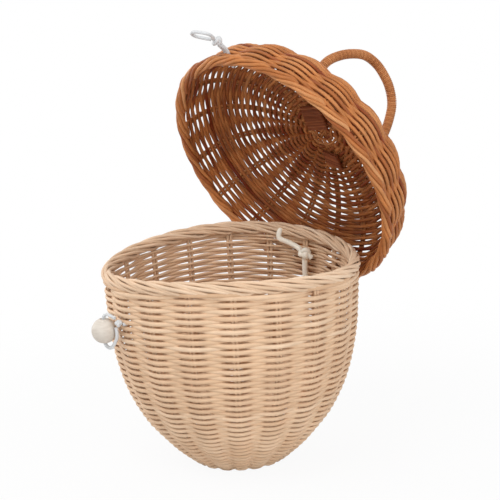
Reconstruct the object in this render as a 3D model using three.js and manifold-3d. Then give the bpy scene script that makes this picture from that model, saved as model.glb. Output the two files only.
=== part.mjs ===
import * as THREE from 'three';
import { mergeVertices } from 'three/addons/utils/BufferGeometryUtils.js';
import Module from 'manifold-3d';

const wasm = await Module();
wasm.setup();

// Lidded rattan storage basket: a deep tapered body, a domed lid on a cord hinge, a bead and a cord loop.
// Origin at the centre of the base, +Z up, +Y towards the hinge. The lid stands open at rest.

const degree = Math.PI / 180;
const fullTurn = 2 * Math.PI;

// Stakes and weave, the same in body and lid
const stakeCount = 18;
const stakePhase = -42.8 * degree;
const stakeWidth = 5;
const stakeThick = 2.5;
const stakeGap = 0.3;
const wallThick = 7.5;
const wallSkin = 2.2;
const wallHollow = 2.3;
const stakeHold = 3.4;
const discGap = 0.6;
const sectionRadius = 400;

// Body
const rimRadius = 103;
const rimHalfWidth = 5;
const rimHalfHeight = 6.5;
const rimHeight = 170.7;
const rimWave = 4;
const rimWavePeak = 128.5 * degree;
const rimLip = 1;
const rimSeat = 0.6;
const wallHeight = rimHeight - rimHalfHeight - rimSeat;
const wallTopRadius = rimRadius + rimHalfWidth - rimLip;
const bodyShares = [
  [0.368, 0],
  [0.467, 0.055],
  [0.591, 0.134],
  [0.738, 0.257],
  [0.873, 0.44],
  [0.962, 0.685],
  [1, 1],
];
const bodyColor = 0xe0bf98;
const borderColor = 0xe8cdaa;

// Lid, drawn closed round its own ring plane
const lidBorderOut = 7.8;
const lidBorderRadius = rimRadius + lidBorderOut;
const lidBorderHalfWidth = 5.1;
const lidBorderHalfHeight = 5.25;
const lidPlaneRise = 12.3;
const lidPlaneHeight = rimHeight + lidPlaneRise;
const lidSeat = 0.75;
const domeOut = 2.7;
const domeRadius = lidBorderRadius + domeOut;
const domeHeight = 62.6;
const domePower = 2.8;
const crownRadius = 36.3;
const domeTurnShares = [0.115, 0.27, 0.46, 0.7];
const crownTurnShares = [0, 0.5, 1];
const lidColor = 0xc98350;

// Border plaiting
const borderSegments = 72;
const borderSides = 8;
const plaitDepthShare = 0.13;
const plaitWrap = 2;

// Hinge line and lean of the open lid
const hingeInset = 28.1;
const hingeDrop = 11.4;
const hingeY = rimRadius - hingeInset;
const hingeZ = rimHeight - hingeDrop;
const openAngle = 64.6 * degree;

// Handle on the crown
const handleHalfWidth = 45;
const handleRise = 82.4;
const handleTurn = 78 * degree;
const handleFootShare = 0.6;
const handleShares = [
  [0.7, 0.08], [0.9, 0.2], [1, 0.4], [0.93, 0.59], [0.756, 0.78], [0.555, 0.91], [0.26, 0.985],
];
const caneRadius = 3;
const socketGap = 0.3;
const bindingThick = 0.9;
const footStand = 1;
const handleSides = 8;
const lashingThick = 3;
const frontLashing = { width: 24, length: 24, across: 2, along: -18 };
const rearLashing = { width: 16, length: 14, across: 4, along: 26 };
const lashingBevel = 1;
const handleColor = 0xc8875a;

// White cord of the closure
const cordRadius = 1.1;
const cordSides = 8;
const cordGap = 0.3;
const holeGap = 0.4;
const cordColor = 0xdcdfe0;

// Bead on its cord
const beadRadius = 10.5;
const beadBore = 1.6;
const beadColor = 0xe4dcd0;
const beadKnotRadius = 3.4;
const beadKnotTurn = -101.5 * degree;
const beadHoleTurn = -100.1 * degree;
const beadKnotHeight = 139;
const beadKnotOut = 0.5;
const beadAside = 13.4;
const beadDrop = 8;
const beadOut = 0.9;
const stopRadius = 3;
const beadTopTurn = 130 * degree;
const beadLowTurn = 235 * degree;
const beadUpperTurns = [62 * degree, 79 * degree];
const beadLowerTurns = [76 * degree, 50 * degree, 22 * degree];

// Loop on the lid's front edge
const loopTurn = 260.5 * degree;
const loopHeight = 9.4;
const loopStemRadius = 2.1;
const loopKnotRadius = 4;
const loopKnotOut = 12.5;
const loopKnotDrop = 3.4;
const loopSlope = 40 * degree;
const loopLength = 24.2;
const loopWidth = 18;
const loopStopRadius = 3.6;

// Cream cord of the hinge lacing
const laceRadius = 1.8;
const laceColor = 0xe1d0b4;
const laceTurn = 110.2 * degree;
const laceEndTurn = 92 * degree;
const laceKnotTurn = 93 * degree;
const laceKnotHeight = 157.8;
const laceKnotRadius = 5.3;
const laceTailDrop = 19;
const laceGap = 0.7;
const laceBendShare = 1.5;
const laceLeadShare = 1 / 3;
const laceBendTurn = 45 * degree;
const lidLaceShares = [[1 / 6, 0.5], [1 / 3, 0], [0.5, 0], [2 / 3, 0], [5 / 6, 0.5]];
const knotSides = 10;
const knotRings = 6;

function material(color, roughness) {
  return new THREE.MeshStandardMaterial({ color, roughness, metalness: 0 });
}

function welded(geometry) {
  const bare = geometry.clone();
  bare.deleteAttribute('normal');
  bare.deleteAttribute('uv');
  return mergeVertices(bare, cordGap / 300);
}

function toSolid(geometry) {
  const shape = welded(geometry);
  return new wasm.Manifold(new wasm.Mesh({
    numProp: 3,
    vertProperties: new Float32Array(shape.attributes.position.array),
    triVerts: new Uint32Array(shape.index.array),
  }));
}

function fromSolid(solid) {
  const mesh = solid.getMesh();
  const geometry = new THREE.BufferGeometry();
  geometry.setAttribute('position', new THREE.BufferAttribute(new Float32Array(mesh.vertProperties), 3));
  geometry.setIndex(new THREE.BufferAttribute(new Uint32Array(mesh.triVerts), 1));
  return geometry;
}

function cut(geometry, tools) {
  let solid = toSolid(geometry);
  for (const tool of tools) {
    solid = solid.subtract(toSolid(tool));
  }
  return fromSolid(solid);
}

function joined(first, second) {
  return fromSolid(toSolid(first).add(toSolid(second)));
}

// Points by radius, turn and height
function polar(radius, turn, height) {
  return new THREE.Vector3(radius * Math.cos(turn), radius * Math.sin(turn), height);
}

function rimRise(turn) {
  return rimWave * Math.cos(2 * (turn - rimWavePeak));
}

// Profiles run upwards, each station with its outward normal
function withNormals(points) {
  return points.map((point, i) => {
    const before = points[Math.max(i - 1, 0)];
    const after = points[Math.min(i + 1, points.length - 1)];
    const along = after.clone().sub(before).normalize();
    return { point, along, normal: new THREE.Vector2(along.y, -along.x) };
  });
}

const bodyProfile = withNormals(
  bodyShares.map(([radius, height]) => new THREE.Vector2(radius * wallTopRadius, height * wallHeight)),
);

function domePoint(turn) {
  const power = 2 / domePower;
  return new THREE.Vector2(domeRadius * Math.cos(turn) ** power, domeHeight * Math.sin(turn) ** power);
}

const lidStart = Math.asin(((lidBorderHalfHeight + lidSeat) / domeHeight) ** (domePower / 2));
const lidEnd = Math.acos((crownRadius / domeRadius) ** (domePower / 2));
const lidTurns = [lidStart, ...domeTurnShares.map((share) => share * lidEnd), lidEnd];
const lidProfile = withNormals(lidTurns.map(domePoint));

// Outer radius of the body wall at a height
function bodyRadiusAt(height) {
  for (let i = 1; i < bodyProfile.length; i += 1) {
    const low = bodyProfile[i - 1].point;
    const high = bodyProfile[i].point;
    if (height <= high.y) {
      return low.x + (high.x - low.x) * (height - low.y) / (high.y - low.y);
    }
  }
  return wallTopRadius;
}

// Lays an extruded ring section along a profile. Widths near a stake keep their size at every radius.
function layOnProfile(geometry, profile, wave) {
  const position = geometry.attributes.position;
  const pitch = fullTurn / stakeCount;
  const last = profile.length - 1;
  const topHeight = profile[last].point.y;
  const holdTurn = stakeHold / sectionRadius;
  for (let i = 0; i < position.count; i += 1) {
    const x = position.getX(i);
    const y = position.getY(i);
    const station = profile[Math.round(position.getZ(i) * last)];
    const offset = Math.hypot(x, y) - sectionRadius;
    const turn = Math.atan2(y, x) - stakePhase;
    const nearest = Math.round(turn / pitch) * pitch;
    const aside = turn - nearest;
    const radius = station.point.x + station.normal.x * offset;
    const height = station.point.y + station.normal.y * offset;
    const holdHere = stakeHold / radius;
    const side = Math.sign(aside);
    const beyond = (Math.abs(aside) - holdTurn) / (pitch / 2 - holdTurn);
    const near = aside * sectionRadius / radius;
    const far = side * (holdHere + beyond * (pitch / 2 - holdHere));
    const newTurn = stakePhase + nearest + (beyond > 0 ? far : near);
    const lift = wave ? rimRise(newTurn) * (station.point.y / topHeight) ** 2 : 0;
    position.setXYZ(i, radius * Math.cos(newTurn), radius * Math.sin(newTurn), height + lift);
  }
  position.needsUpdate = true;
  return geometry;
}

function sectionPoint(stake, aside, offset) {
  const turn = stakePhase + stake * fullTurn / stakeCount + aside / sectionRadius;
  const radius = sectionRadius + offset;
  return new THREE.Vector2(radius * Math.cos(turn), radius * Math.sin(turn));
}

// Outline round a pair of stakes side by side, grown by a gap
function pairOutline(stake, grow) {
  const half = stakeWidth / 2 + grow;
  const deep = stakeThick / 2 + grow;
  const centre = -wallSkin - stakeGap - stakeThick / 2;
  const outline = [[half, deep], [-half, deep], [-half, -deep], [half, -deep]];
  return outline.map(([aside, offset]) => sectionPoint(stake, aside, centre + offset));
}

// The weave: a thin wall that swells over each pair of stakes and has a channel for it from end to end
function wovenWall(profile, wave) {
  const outer = [];
  const inner = [];
  const middle = sectionRadius * fullTurn / stakeCount / 2;
  for (let stake = 0; stake < stakeCount; stake += 1) {
    outer.push(sectionPoint(stake, -stakeHold, 0));
    outer.push(sectionPoint(stake, stakeHold, 0));
    outer.push(sectionPoint(stake, middle, -wallHollow));
    inner.push(sectionPoint(stake, -stakeHold, -wallThick));
    inner.push(sectionPoint(stake, stakeHold, -wallThick));
    inner.push(sectionPoint(stake, middle, wallHollow - wallThick));
  }
  const shape = new THREE.Shape(outer);
  shape.holes.push(new THREE.Path(inner.reverse()));
  for (let stake = 0; stake < stakeCount; stake += 1) {
    shape.holes.push(new THREE.Path(pairOutline(stake, stakeGap).reverse()));
  }
  const raw = new THREE.ExtrudeGeometry(shape, { depth: 1, steps: profile.length - 1, bevelEnabled: false });
  return welded(layOnProfile(raw, profile, wave));
}

function stakePair(stake, profile, wave) {
  const shape = new THREE.Shape(pairOutline(stake, 0));
  const raw = new THREE.ExtrudeGeometry(shape, { depth: 1, steps: profile.length - 1, bevelEnabled: false });
  return welded(layOnProfile(raw, profile, wave));
}

// A rolled border: a ring whose section turns with the plait
function rolledBorder(radius, halfWidth, halfHeight, height, wave) {
  const profile = [];
  for (let i = 0; i <= borderSides; i += 1) {
    const turn = i % borderSides * fullTurn / borderSides;
    profile.push(new THREE.Vector2(radius + halfWidth * Math.cos(turn), halfHeight * Math.sin(turn)));
  }
  const ring = new THREE.LatheGeometry(profile, borderSegments);
  ring.rotateX(Math.PI / 2);
  const position = ring.attributes.position;
  for (let i = 0; i < position.count; i += 1) {
    const x = position.getX(i);
    const y = position.getY(i);
    const z = position.getZ(i);
    const turn = Math.atan2(y, x);
    const out = Math.hypot(x, y) - radius;
    const round = Math.atan2(z / halfHeight, out / halfWidth);
    const plait = (1 - Math.cos(plaitWrap * round - stakeCount * turn)) / 2;
    const size = 1 - plaitDepthShare * plait;
    const reach = radius + out * size;
    const lift = wave ? rimRise(turn) : 0;
    position.setXYZ(i, reach * Math.cos(turn), reach * Math.sin(turn), height + z * size + lift);
  }
  return outward(welded(ring));
}

// Turns every face outwards
function outward(geometry) {
  const position = geometry.attributes.position;
  const index = geometry.index.array;
  const a = new THREE.Vector3();
  const b = new THREE.Vector3();
  const c = new THREE.Vector3();
  let volume = 0;
  for (let i = 0; i < index.length; i += 3) {
    a.fromBufferAttribute(position, index[i]);
    b.fromBufferAttribute(position, index[i + 1]);
    c.fromBufferAttribute(position, index[i + 2]);
    volume += a.dot(b.cross(c));
  }
  if (volume < 0) {
    for (let i = 0; i < index.length; i += 3) {
      const kept = index[i];
      index[i] = index[i + 1];
      index[i + 1] = kept;
    }
  }
  return geometry;
}

function lathe(points, segments) {
  const geometry = new THREE.LatheGeometry(points, segments);
  geometry.rotateX(Math.PI / 2);
  return outward(welded(geometry));
}

function roundShape(radius, sides) {
  const points = [];
  for (let i = 0; i < sides; i += 1) {
    const turn = i * fullTurn / sides;
    points.push(new THREE.Vector2(radius * Math.cos(turn), radius * Math.sin(turn)));
  }
  return new THREE.Shape(points);
}

function tube(path, radius, steps, sides) {
  const options = { steps, extrudePath: path, bevelEnabled: false };
  return outward(welded(new THREE.ExtrudeGeometry(roundShape(radius, sides), options)));
}

function cord(points, radius, steps) {
  return tube(new THREE.CatmullRomCurve3(points, false, 'centripetal'), radius, steps, cordSides);
}

// A straight round rod from one point to another, for holes and straight cord
function rod(from, to, radius, sides) {
  return tube(new THREE.LineCurve3(from, to), radius, 1, sides);
}

function knot(centre, radius, scale) {
  const geometry = new THREE.SphereGeometry(radius, knotSides, knotRings);
  geometry.scale(scale[0], scale[1], scale[2]);
  geometry.translate(centre.x, centre.y, centre.z);
  return outward(welded(geometry));
}

const basket = new THREE.Group();
const lid = new THREE.Group();

function add(group, name, geometry, color, roughness) {
  const mesh = new THREE.Mesh(geometry, material(color, roughness));
  mesh.name = name;
  group.add(mesh);
  return mesh;
}

// Base disc, its edge square to the lower end of the side wall
const foot = bodyProfile[0];
const footShift = -discGap * foot.along.y / foot.normal.y;
const baseRadius = foot.point.x - discGap * foot.along.x - footShift * foot.normal.x;
const baseTop = foot.point.y - wallThick * foot.normal.y - discGap * foot.along.y;
const baseTopRadius = foot.point.x - wallThick * foot.normal.x - discGap * foot.along.x;
add(basket, 'base_disc', lathe([
  new THREE.Vector2(0, 0),
  new THREE.Vector2(baseRadius, 0),
  new THREE.Vector2(baseTopRadius, baseTop),
  new THREE.Vector2(0, baseTop),
], stakeCount * 2), bodyColor, 0.8);

// Holes for the cords in the body
const beadHoleHeight = beadKnotHeight - cordRadius;
const holeReach = wallThick + rimHalfWidth;
const beadHole = rod(
  polar(bodyRadiusAt(beadHoleHeight) - holeReach, beadHoleTurn, beadHoleHeight),
  polar(bodyRadiusAt(beadHoleHeight) + holeReach, beadHoleTurn, beadHoleHeight),
  cordRadius + holeGap,
  cordSides,
);
const laceHole = rod(
  polar(bodyRadiusAt(laceKnotHeight) - holeReach, laceEndTurn, laceKnotHeight),
  polar(bodyRadiusAt(laceKnotHeight) + holeReach, laceEndTurn, laceKnotHeight),
  laceRadius + laceGap,
  cordSides,
);
add(basket, 'side_weave', cut(wovenWall(bodyProfile, true), [beadHole, laceHole]), bodyColor, 0.75);
for (let stake = 0; stake < stakeCount; stake += 1) {
  add(basket, `stake_pair_${stake + 1}`, stakePair(stake, bodyProfile, true), bodyColor, 0.7);
}
const laceHeight = rimHeight + rimRise(laceTurn);
const rimHole = rod(
  polar(rimRadius - holeReach, laceTurn, laceHeight),
  polar(rimRadius + holeReach, laceTurn, laceHeight),
  laceRadius + laceGap,
  cordSides,
);
add(basket, 'rim_border', cut(
  rolledBorder(rimRadius, rimHalfWidth, rimHalfHeight, rimHeight, true),
  [rimHole],
), borderColor, 0.7);

// Lid wall, border, stakes and crown
const lidHoleReach = wallThick + lidBorderHalfWidth;
const loopHole = rod(
  polar(domeRadius - lidHoleReach, loopTurn, loopHeight),
  polar(domeRadius + lidHoleReach, loopTurn, loopHeight),
  loopStemRadius + holeGap,
  cordSides,
);
add(lid, 'lid_weave', cut(wovenWall(lidProfile, false), [loopHole]), lidColor, 0.7);
for (let stake = 0; stake < stakeCount; stake += 1) {
  add(lid, `lid_stake_pair_${stake + 1}`, stakePair(stake, lidProfile, false), lidColor, 0.7);
}
const lidHoles = [laceTurn, laceEndTurn].map((turn) => rod(
  polar(lidBorderRadius - lidHoleReach, turn, 0),
  polar(lidBorderRadius + lidHoleReach, turn, 0),
  laceRadius + laceGap,
  cordSides,
));
add(lid, 'lid_border', cut(
  rolledBorder(lidBorderRadius, lidBorderHalfWidth, lidBorderHalfHeight, 0, false),
  lidHoles,
), lidColor, 0.65);

const crownEdge = lidProfile[lidProfile.length - 1];
const crownUnder = crownEdge.point.y - wallThick * crownEdge.normal.y + discGap * crownEdge.along.y;
const crownUnderRadius = crownEdge.point.x - wallThick * crownEdge.normal.x + discGap * crownEdge.along.x;
const crownTopRadius = crownEdge.point.x + discGap * crownEdge.along.x;
const crownPoints = [new THREE.Vector2(0, crownUnder), new THREE.Vector2(crownUnderRadius, crownUnder)];
for (const share of crownTurnShares) {
  const turn = lidEnd + share * (Math.PI / 2 - lidEnd);
  const point = domePoint(turn);
  crownPoints.push(new THREE.Vector2(Math.max(point.x * crownTopRadius / crownRadius, 0), point.y));
}
crownPoints[crownPoints.length - 1].x = 0;

// Handle: a bent cane through the crown, bound with fine strip above it
function handlePoint(across, height) {
  return new THREE.Vector3(across * Math.cos(handleTurn), across * Math.sin(handleTurn), height);
}
const footAcross = handleHalfWidth * handleFootShare;
const footStart = crownUnder;
const footEnd = domeHeight + footStand;
const footLength = footEnd - footStart;
const footRiseShares = [0, 0.33, 0.67, 1];
const side = footRiseShares.map((share) => [footAcross, footStart + share * footLength]);
for (const [across, rise] of handleShares) {
  side.push([across * handleHalfWidth, footEnd + rise * handleRise]);
}
const handleRoute = [
  ...side.map(([across, height]) => handlePoint(across, height)),
  handlePoint(0, footEnd + handleRise),
  ...side.map(([across, height]) => handlePoint(-across, height)).reverse(),
];
const handlePath = new THREE.CatmullRomCurve3(handleRoute, false, 'centripetal');
const handleSteps = Math.floor(handlePath.getLength() / footLength);

class Stretch extends THREE.Curve {
  constructor(path, from, to) {
    super();
    this.path = path;
    this.from = from;
    this.to = to;
  }

  getPoint(share, target = new THREE.Vector3()) {
    return target.copy(this.path.getPointAt(this.from + (this.to - this.from) * share));
  }
}

const bindingPath = new Stretch(handlePath, 1 / handleSteps, 1 - 1 / handleSteps);
const bindingOutline = roundShape(caneRadius + socketGap + bindingThick, handleSides);
const bindingBore = roundShape(caneRadius + socketGap, handleSides).getPoints(1);
bindingOutline.holes.push(new THREE.Path(bindingBore.slice(0, handleSides).reverse()));
add(lid, 'handle_cane', tube(handlePath, caneRadius, handleSteps, handleSides), handleColor, 0.6);
add(lid, 'handle_binding', outward(welded(new THREE.ExtrudeGeometry(bindingOutline, {
  steps: handleSteps - 2,
  extrudePath: bindingPath,
  bevelEnabled: false,
}))), handleColor, 0.55);
const sockets = [footAcross, -footAcross].map((across) => rod(
  handlePoint(across, crownUnder - wallThick),
  handlePoint(across, domeHeight + wallThick),
  caneRadius + socketGap,
  handleSides * 2,
));
add(lid, 'lid_crown', cut(lathe(crownPoints, stakeCount * 2), sockets), lidColor, 0.7);

// Lashings under the crown that hold the handle's feet
function lashing({ width, length, across, along }) {
  const outline = new THREE.Shape();
  outline.moveTo(-width / 2 + lashingBevel, -length / 2);
  outline.lineTo(width / 2 - lashingBevel, -length / 2);
  outline.lineTo(width / 2, -length / 2 + lashingBevel);
  outline.lineTo(width / 2, length / 2 - lashingBevel);
  outline.lineTo(width / 2 - lashingBevel, length / 2);
  outline.lineTo(-width / 2 + lashingBevel, length / 2);
  outline.lineTo(-width / 2, length / 2 - lashingBevel);
  outline.lineTo(-width / 2, -length / 2 + lashingBevel);
  const block = new THREE.ExtrudeGeometry(outline, { depth: lashingThick, steps: 1, bevelEnabled: false });
  block.translate(across, along, crownUnder - cordGap - lashingThick);
  return outward(welded(block));
}
add(lid, 'front_lashing', lashing(frontLashing), lidColor, 0.6);
add(lid, 'rear_lashing', lashing(rearLashing), lidColor, 0.6);

// Closure loop on the lid: stem through the wall, knot outside, loop from the knot
const stemInside = domeRadius - wallThick - loopStopRadius;
const knotAt = domeRadius + loopKnotOut;
const loopKnotHeight = loopHeight - loopKnotDrop;
const stemEnd = knotAt - loopKnotRadius - cordGap;
const stemRoute = [
  polar(stemInside, loopTurn, loopHeight),
  polar(domeRadius - wallThick / 2, loopTurn, loopHeight),
  polar(domeRadius + cordRadius, loopTurn, loopHeight),
  polar(stemEnd, loopTurn, loopKnotHeight + cordRadius),
];
const loopStop = knot(polar(stemInside - cordRadius, loopTurn, loopHeight), loopStopRadius, [1, 1, 1]);
add(lid, 'loop_stem', joined(cord(stemRoute, loopStemRadius, 8), loopStop), cordColor, 0.9);
const loopKnotCentre = polar(knotAt, loopTurn, loopKnotHeight);
add(lid, 'loop_knot', knot(loopKnotCentre, loopKnotRadius, [1, 1, 1]), cordColor, 0.9);
const loopSideShares = [[0.34, 0.58], [0.6, 1], [0.85, 0.78]];
const loopStart = loopKnotRadius + cordGap;

function loopPoint(along, aside) {
  const out = new THREE.Vector3(Math.cos(loopTurn), Math.sin(loopTurn), 0);
  const across = new THREE.Vector3(-Math.sin(loopTurn), Math.cos(loopTurn), 0);
  const point = loopKnotCentre.clone();
  point.addScaledVector(out, along * Math.cos(loopSlope));
  point.addScaledVector(across, aside);
  point.z -= along * Math.sin(loopSlope);
  return point;
}

const loopLead = loopStemRadius - cordRadius / 2;
const loopSide = [[loopStart, loopLead]];
for (const [along, aside] of loopSideShares) {
  loopSide.push([along * loopLength, aside * loopWidth / 2]);
}
const loopRoute = [
  ...loopSide.map(([along, aside]) => loopPoint(along, aside)),
  loopPoint(loopLength, 0),
  ...loopSide.map(([along, aside]) => loopPoint(along, -aside)).reverse(),
];
add(lid, 'closure_loop', cord(loopRoute, cordRadius, 22), cordColor, 0.9);

// Lacing along the outside of the lid's border, between its two holes
const lidOutside = lidBorderRadius + lidBorderHalfWidth + laceGap + laceRadius;
const lidInside = lidBorderRadius - lidBorderHalfWidth;
const lidLaceRoute = [
  polar(lidInside + laceRadius, laceTurn, 0),
  polar(lidBorderRadius, laceTurn, 0),
  polar(lidOutside - laceRadius, laceTurn, 0),
  ...lidLaceShares.map(([share, out]) => polar(
    lidOutside + laceRadius * out,
    laceTurn + (laceEndTurn - laceTurn) * share,
    0,
  )),
  polar(lidOutside - laceRadius, laceEndTurn, 0),
  polar(lidBorderRadius, laceEndTurn, 0),
  polar(lidInside + laceRadius, laceEndTurn, 0),
];
add(lid, 'lid_lacing', cord(lidLaceRoute, laceRadius, 24), laceColor, 0.95);

// The lid leans back about the hinge line
const lean = new THREE.Matrix4().makeTranslation(0, hingeY, hingeZ);
lean.multiply(new THREE.Matrix4().makeRotationX(-openAngle));
lean.multiply(new THREE.Matrix4().makeTranslation(0, -hingeY, lidPlaneHeight - hingeZ));
lid.applyMatrix4(lean);

// Bead, threaded on a short loop of cord from a knot on the wall
const beadWall = bodyRadiusAt(beadKnotHeight);
const beadKnot = polar(beadWall + beadKnotRadius + beadKnotOut, beadKnotTurn, beadKnotHeight);
const beadHeight = beadKnotHeight - beadDrop;
const beadReach = bodyRadiusAt(beadHeight) + beadRadius + beadOut;
const beadTurnAside = beadAside / (beadReach + beadWall) * 2;
const beadCentre = polar(beadReach, beadKnotTurn - beadTurnAside, beadHeight);
const beadHalfBore = Math.sqrt(beadRadius ** 2 - beadBore ** 2);
const beadOutline = [];
const beadArc = Math.atan2(beadHalfBore, beadBore);
const beadArcSteps = 8;
for (let i = 0; i <= beadArcSteps; i += 1) {
  const turn = -beadArc + 2 * beadArc * i / beadArcSteps;
  beadOutline.push(new THREE.Vector2(beadRadius * Math.cos(turn), beadRadius * Math.sin(turn)));
}
beadOutline.push(beadOutline[0].clone());
const bead = lathe(beadOutline, 14);
bead.translate(beadCentre.x, beadCentre.y, beadCentre.z);
add(basket, 'bead', bead, beadColor, 0.6);
add(basket, 'bead_knot', knot(beadKnot, beadKnotRadius, [1, 1, 1]), cordColor, 0.9);

const beadToKnot = beadKnot.clone().sub(beadCentre);
const beadSide = new THREE.Vector3(beadToKnot.x, beadToKnot.y, 0);
const beadSpan = beadSide.length();
beadSide.normalize();

function beadPoint(aside, up) {
  return beadCentre.clone().addScaledVector(beadSide, aside).add(new THREE.Vector3(0, 0, up));
}

const cordOnBead = beadRadius + cordRadius + cordGap;
const knotReach = beadKnotRadius + cordGap + cordRadius;
const beadRouteShares = [[0, 0.8], [0, 0], [0, -0.8]];
const [upperTurn, crownTurn] = beadUpperTurns;
const [underTurn, lowerTurn, returnTurn] = beadLowerTurns;
const beadRoute = [
  beadPoint(beadSpan + knotReach * Math.cos(beadTopTurn), beadDrop + knotReach * Math.sin(beadTopTurn)),
  beadPoint(cordOnBead * Math.cos(upperTurn), cordOnBead * Math.sin(upperTurn) + cordRadius),
  beadPoint(cordOnBead * Math.cos(crownTurn), cordOnBead + cordRadius * 2),
  beadPoint(beadBore / 4, cordOnBead + cordRadius),
  ...beadRouteShares.map(([aside, up]) => beadPoint(aside, up * beadRadius)),
  beadPoint(beadBore / 4, -cordOnBead - cordRadius),
  beadPoint(cordOnBead * Math.cos(underTurn), -cordOnBead - cordRadius * 1.5),
  beadPoint(cordOnBead * Math.cos(lowerTurn), -cordOnBead * Math.sin(lowerTurn) - cordRadius),
  beadPoint(cordOnBead * Math.cos(returnTurn) + cordRadius, -cordOnBead * Math.sin(returnTurn)),
  beadPoint(beadSpan + knotReach * Math.cos(beadLowTurn), beadDrop + knotReach * Math.sin(beadLowTurn)),
];
add(basket, 'bead_loop', cord(beadRoute, cordRadius, 30), cordColor, 0.9);

const stopAt = bodyRadiusAt(beadHoleHeight) - wallThick - stopRadius;
const beadStemRoute = [
  polar(stopAt, beadHoleTurn, beadHoleHeight),
  polar(beadWall - wallThick / 2, beadHoleTurn, beadHoleHeight),
  polar(beadWall + cordRadius, beadHoleTurn, beadHoleHeight),
];
const beadStop = knot(polar(stopAt - cordRadius, beadHoleTurn, beadHoleHeight), stopRadius, [1, 1, 1]);
add(basket, 'bead_stem', joined(cord(beadStemRoute, cordRadius, 2), beadStop), cordColor, 0.9);

// Hinge lacing on the body: through the border, down along the inside to a knot, with a hanging tail
const rimOutside = rimRadius + rimHalfWidth;
const insideWall = wallTopRadius - wallThick - laceRadius * 2;
const laceKnotAt = insideWall + laceRadius - laceKnotRadius;
const knotCentre = polar(laceKnotAt, laceKnotTurn, laceKnotHeight);
const knotEdge = laceKnotRadius + cordGap;
const knotEdgeTurn = laceKnotTurn + knotEdge / insideWall;
const dropShares = [0.4, 0.75];
const laceRoute = [
  polar(rimOutside, laceTurn, laceHeight),
  polar(rimRadius, laceTurn, laceHeight),
  polar(rimRadius - rimHalfWidth, laceTurn, laceHeight),
  polar(insideWall, laceTurn, laceHeight - laceRadius * 3),
  ...dropShares.map((share) => polar(
    insideWall,
    laceTurn + (knotEdgeTurn - laceTurn) * share,
    laceHeight - laceRadius * 3 + (laceKnotHeight - laceHeight + laceRadius * 4) * share,
  )),
  polar(laceKnotAt + laceRadius, knotEdgeTurn, laceKnotHeight + laceRadius),
];
add(basket, 'hinge_lacing', cord(laceRoute, laceRadius, 16), laceColor, 0.95);
const knotBody = knot(knotCentre, laceKnotRadius, [1, 1, 1]);
const knotStub = rod(
  polar(laceKnotAt, laceEndTurn, laceKnotHeight),
  polar(bodyRadiusAt(laceKnotHeight) + cordGap, laceEndTurn, laceKnotHeight),
  laceRadius,
  cordSides,
);
add(basket, 'lacing_knot', joined(knotBody, knotStub), laceColor, 0.95);
const tailTop = knotCentre.clone();
tailTop.z -= knotEdge;
const tailEnd = tailTop.clone();
tailEnd.z -= laceTailDrop;
add(basket, 'lacing_tail', cord([
  tailTop,
  tailTop.clone().lerp(tailEnd, 0.5),
  tailEnd,
], laceRadius, 3), laceColor, 0.95);

// Two short stretches of lacing outside, from the body to the open lid's border
function openPoint(radius, turn, height) {
  return polar(radius, turn, height).applyMatrix4(lean);
}

function stretch(from, turn) {
  const start = from.radius + cordGap;
  const lidStartAt = lidInside - cordGap;
  const bend = laceRadius * laceBendShare;
  const lead = laceRadius * laceLeadShare;
  const bendOut = bend * Math.sin(laceBendTurn);
  const bendDown = bend - bend * Math.cos(laceBendTurn);
  return cord([
    polar(start, turn, from.height),
    polar(start + lead, turn, from.height),
    polar(start + lead + bendOut, turn, from.height - bendDown),
    polar(start + lead + bend, turn, from.height - bend),
    openPoint(lidStartAt - bend, turn, 0),
    openPoint(lidStartAt - lead, turn, 0),
    openPoint(lidStartAt, turn, 0),
  ], laceRadius, 14);
}

add(basket, 'outer_lacing_left', stretch(
  { radius: rimOutside, height: laceHeight },
  laceTurn,
), laceColor, 0.95);
add(basket, 'outer_lacing_right', stretch(
  { radius: bodyRadiusAt(laceKnotHeight) + cordGap, height: laceKnotHeight },
  laceEndTurn,
), laceColor, 0.95);

const model = new THREE.Group();
model.add(basket, lid);

export default model;
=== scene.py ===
import math

import bpy
import numpy as np
from mathutils import Matrix, Vector


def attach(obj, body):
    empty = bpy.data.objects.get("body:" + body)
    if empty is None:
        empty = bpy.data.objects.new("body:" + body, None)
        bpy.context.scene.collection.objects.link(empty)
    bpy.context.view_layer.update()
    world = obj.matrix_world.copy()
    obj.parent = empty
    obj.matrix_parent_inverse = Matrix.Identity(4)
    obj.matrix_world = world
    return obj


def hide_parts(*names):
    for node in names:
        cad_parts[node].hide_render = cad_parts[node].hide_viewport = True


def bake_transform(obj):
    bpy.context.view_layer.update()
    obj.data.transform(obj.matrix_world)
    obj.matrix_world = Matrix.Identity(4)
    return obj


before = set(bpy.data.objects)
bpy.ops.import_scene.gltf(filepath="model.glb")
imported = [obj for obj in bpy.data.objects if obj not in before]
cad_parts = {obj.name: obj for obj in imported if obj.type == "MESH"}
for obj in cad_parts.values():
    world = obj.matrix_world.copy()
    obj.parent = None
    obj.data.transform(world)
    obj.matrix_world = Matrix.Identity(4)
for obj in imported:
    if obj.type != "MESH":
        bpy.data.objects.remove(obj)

# Lidded rattan storage basket. Lengths below are millimetres until a mesh is made.
mm = 0.001
turn = 2 * math.pi
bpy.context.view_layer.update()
dice = np.random.default_rng(18)
scene = bpy.context.scene


# driving sizes, as the CAD solids have them

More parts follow.
